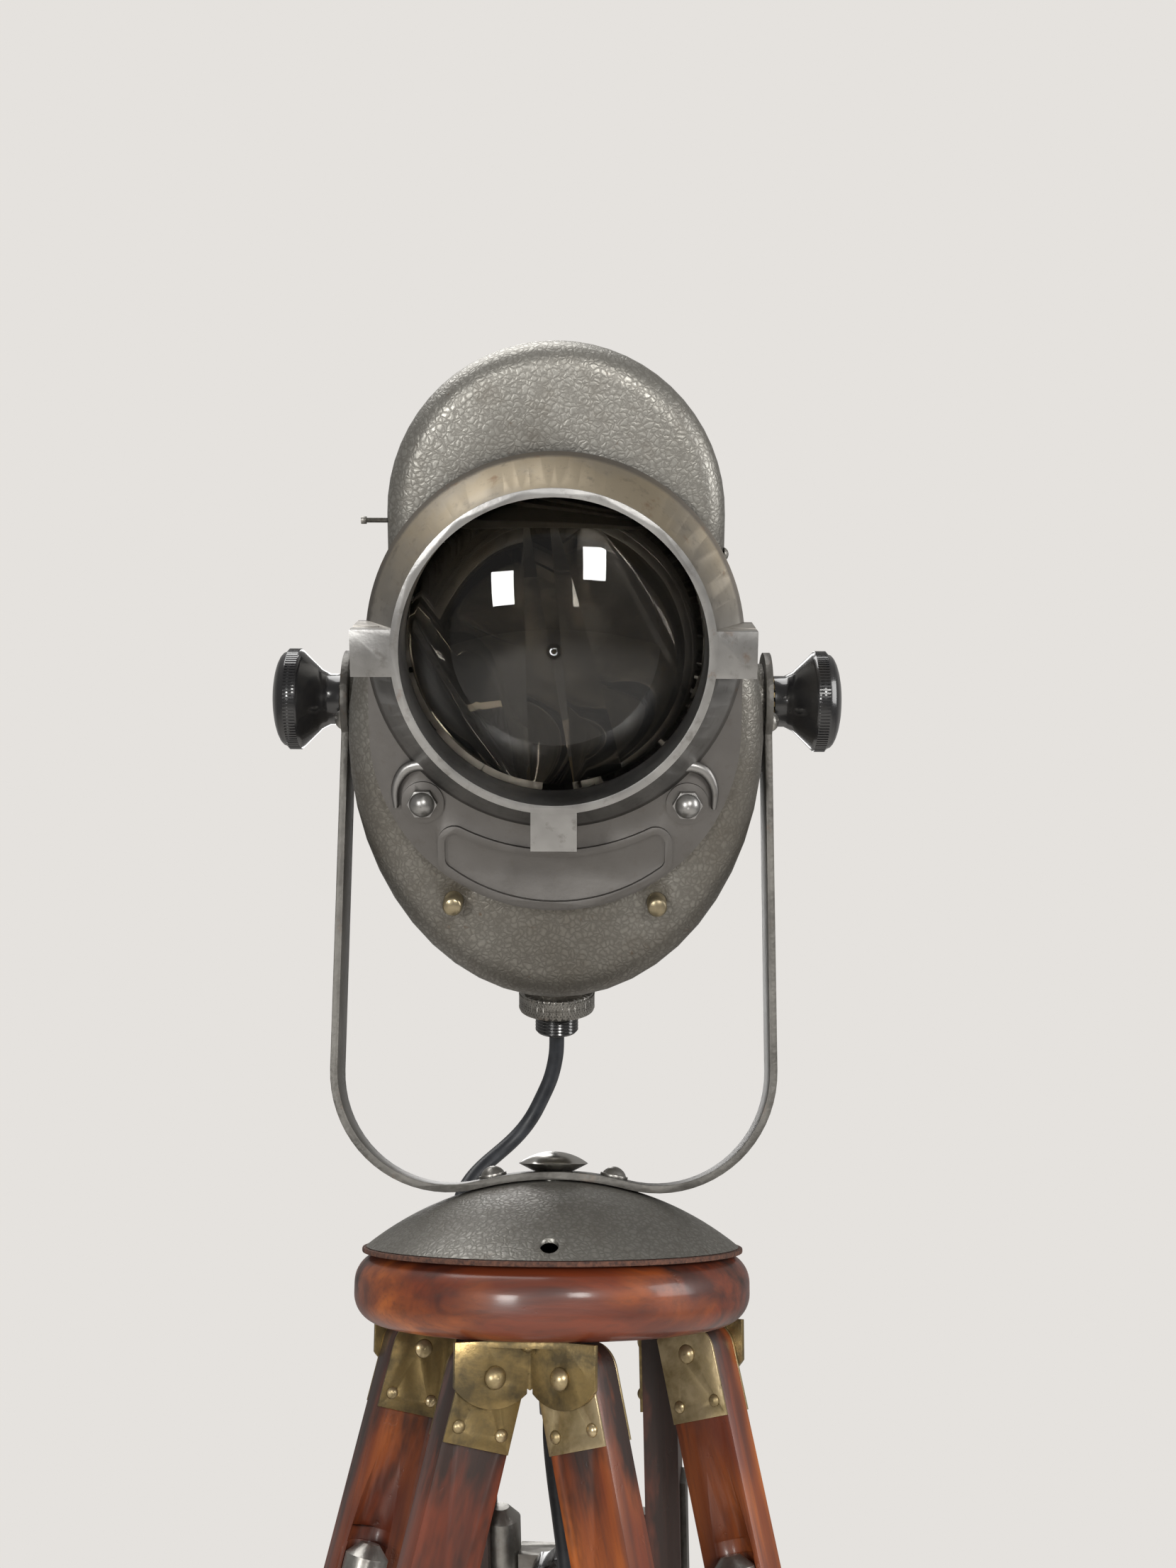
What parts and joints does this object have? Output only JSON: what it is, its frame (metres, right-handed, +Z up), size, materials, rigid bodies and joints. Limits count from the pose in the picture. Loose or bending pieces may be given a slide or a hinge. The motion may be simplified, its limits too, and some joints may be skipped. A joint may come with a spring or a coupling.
{
  "type": "floor lamp",
  "caption": "Spotlight with a flared round lens collar and vented hood, tilting in a steel yoke that turns on a wooden head, with folding wooden legs that extend",
  "frame": {"origin": "centre of the footprint box at floor level", "axes": "Z up along the stand's axis, the lens looks along -Y and down, X across the yoke, metres"},
  "size_m": [0.5462, 0.5214, 1.4457],
  "materials": {
    "cast_aluminium": "dull cast aluminium, warm and stained on the collar",
    "hammer_paint": "grey-green hammered enamel",
    "worn_steel": "worn plain steel",
    "lens_glass": "thick clear glass with a dark interior behind it",
    "old_brass": "brass with an olive-brown patina",
    "black_plastic": "glossy black moulded plastic",
    "polished_metal": "polished metal",
    "porcelain": "unglazed off-white ceramic",
    "bulb_glass": "clear glass envelope",
    "strap_steel": "grey steel with scratches and worn paint",
    "black_rubber": "matt black rubber",
    "leather": "dark brown leather with a fuzzy edge",
    "varnished_wood": "red-brown hardwood, varnished, worn to orange in places",
    "cord_sheath": "smooth dark cord sheath"
  },
  "bodies": {
    "stand_head": {"pivot_bolt": "polished_metal", "pivot_nut": "worn_steel", "leather_ring": "leather", "head_disc": "varnished_wood", "hinge_brackets": "old_brass", "bracket_screws": "old_brass", "mains_cord": "cord_sheath", "cord_coil": "cord_sheath", "plug": "black_rubber"},
    "yoke": {"yoke_strap": "strap_steel", "yoke_screws": "worn_steel", "dome_cover": "hammer_paint", "cord_grommet": "black_rubber", "fan_washer": "old_brass", "lamp_lead": "cord_sheath"},
    "head": {"front_casting": "cast_aluminium", "front_shell": "hammer_paint", "rear_shell": "hammer_paint", "hood_hinge_pin": "worn_steel", "lens": "lens_glass", "lens_ring": "worn_steel", "guide_rods": "old_brass", "casting_nuts": "worn_steel", "gland_nut": "worn_steel", "gland_bush": "black_plastic", "trunnion_studs": "worn_steel"},
    "hood_lid": {"hood": "hammer_paint", "hood_catch_pin": "worn_steel"},
    "carriage": {"lamp_carriage": "old_brass", "reflector": "polished_metal", "lamp_holder": "porcelain", "lamp_bulb": "bulb_glass", "focus_knob": "black_plastic"},
    "knob_left": {"tilt_knob_left": "black_plastic"},
    "knob_right": {"tilt_knob_right": "black_plastic"},
    "leg_left": {"leg_left_stiles": "varnished_wood", "leg_left_plates": "old_brass", "leg_left_rivets": "old_brass", "leg_left_ironwork": "strap_steel"},
    "lower_left": {"leg_left_rails": "varnished_wood", "leg_left_crosshead": "strap_steel", "leg_left_foot": "black_rubber"},
    "clamp_left": {"leg_left_clamp_knob": "black_plastic"},
    "leg_right": {"leg_right_stiles": "varnished_wood", "leg_right_plates": "old_brass", "leg_right_rivets": "old_brass", "leg_right_ironwork": "strap_steel"},
    "lower_right": {"leg_right_rails": "varnished_wood", "leg_right_crosshead": "strap_steel", "leg_right_foot": "black_rubber"},
    "clamp_right": {"leg_right_clamp_knob": "black_plastic"},
    "leg_rear": {"leg_rear_stiles": "varnished_wood", "leg_rear_plates": "old_brass", "leg_rear_rivets": "old_brass", "leg_rear_ironwork": "strap_steel"},
    "lower_rear": {"leg_rear_rails": "varnished_wood", "leg_rear_crosshead": "strap_steel", "leg_rear_foot": "black_rubber"},
    "clamp_rear": {"leg_rear_clamp_knob": "black_plastic"}
  },
  "joints": [
    {"name": "pan", "type": "hinge", "parent": "stand_head", "child": "yoke", "pos_m": [0.01413, -0.04911, 1.05705], "axis": [0, 0, 1], "range_deg": [-170, 170]},
    {"name": "head_tilt", "type": "hinge", "parent": "yoke", "child": "head", "pos_m": [0.01413, -0.04911, 1.26855], "axis": [1, 0, 0], "range_deg": [-36, 32], "deforming": ["lamp_lead"]},
    {"name": "hood_hinge", "type": "hinge", "parent": "head", "child": "hood_lid", "pos_m": [0.01413, -0.00143, 1.39747], "axis": [-1, 0, 0], "range_deg": [0, 95]},
    {"name": "focus_slide", "type": "slide", "parent": "head", "child": "carriage", "axis": [0, -0.9135, -0.4067], "range_m": [-0.03, 0.012]},
    {"name": "tilt_clamp_left", "type": "hinge", "parent": "head", "child": "knob_left", "pos_m": [-0.09587, -0.04911, 1.26855], "axis": [-1, 0, 0], "range_deg": [0, 360]},
    {"name": "tilt_clamp_right", "type": "hinge", "parent": "head", "child": "knob_right", "pos_m": [0.12413, -0.04911, 1.26855], "axis": [1, 0, 0], "range_deg": [0, 360]},
    {"name": "left_fold", "type": "hinge", "parent": "stand_head", "child": "leg_left", "pos_m": [-0.02754, -0.06714, 0.98525], "axis": [0.3971, -0.9178, 0], "range_deg": [0, 13.5]},
    {"name": "left_extend", "type": "slide", "parent": "leg_left", "child": "lower_left", "axis": [-0.2282, -0.0988, -0.9686], "range_m": [0, 0.45]},
    {"name": "left_clamp", "type": "hinge", "parent": "lower_left", "child": "clamp_left", "pos_m": [-0.03817, -0.07174, 0.87982], "axis": [0.8889, 0.3847, -0.2487], "range_deg": [0, 360]},
    {"name": "right_fold", "type": "hinge", "parent": "stand_head", "child": "leg_right", "pos_m": [0.05057, -0.07618, 0.98525], "axis": [0.5962, 0.8028, 0], "range_deg": [0, 13.5]},
    {"name": "right_extend", "type": "slide", "parent": "leg_right", "child": "lower_right", "axis": [0.1997, -0.1483, -0.9686], "range_m": [0, 0.45]},
    {"name": "right_clamp", "type": "hinge", "parent": "lower_right", "child": "clamp_right", "pos_m": [0.05987, -0.08309, 0.87982], "axis": [-0.7776, 0.5775, -0.2487], "range_deg": [0, 360]},
    {"name": "rear_fold", "type": "hinge", "parent": "stand_head", "child": "leg_rear", "pos_m": [0.01935, -0.00401, 0.98525], "axis": [-0.9934, 0.1149, 0], "range_deg": [0, 13.5]},
    {"name": "rear_extend", "type": "slide", "parent": "leg_rear", "child": "lower_rear", "axis": [0.0286, 0.247, -0.9686], "range_m": [0, 0.45]},
    {"name": "rear_clamp", "type": "hinge", "parent": "lower_rear", "child": "clamp_rear", "pos_m": [0.02068, 0.00749, 0.87982], "axis": [-0.1113, -0.9622, -0.2487], "range_deg": [0, 360]}
  ]
}
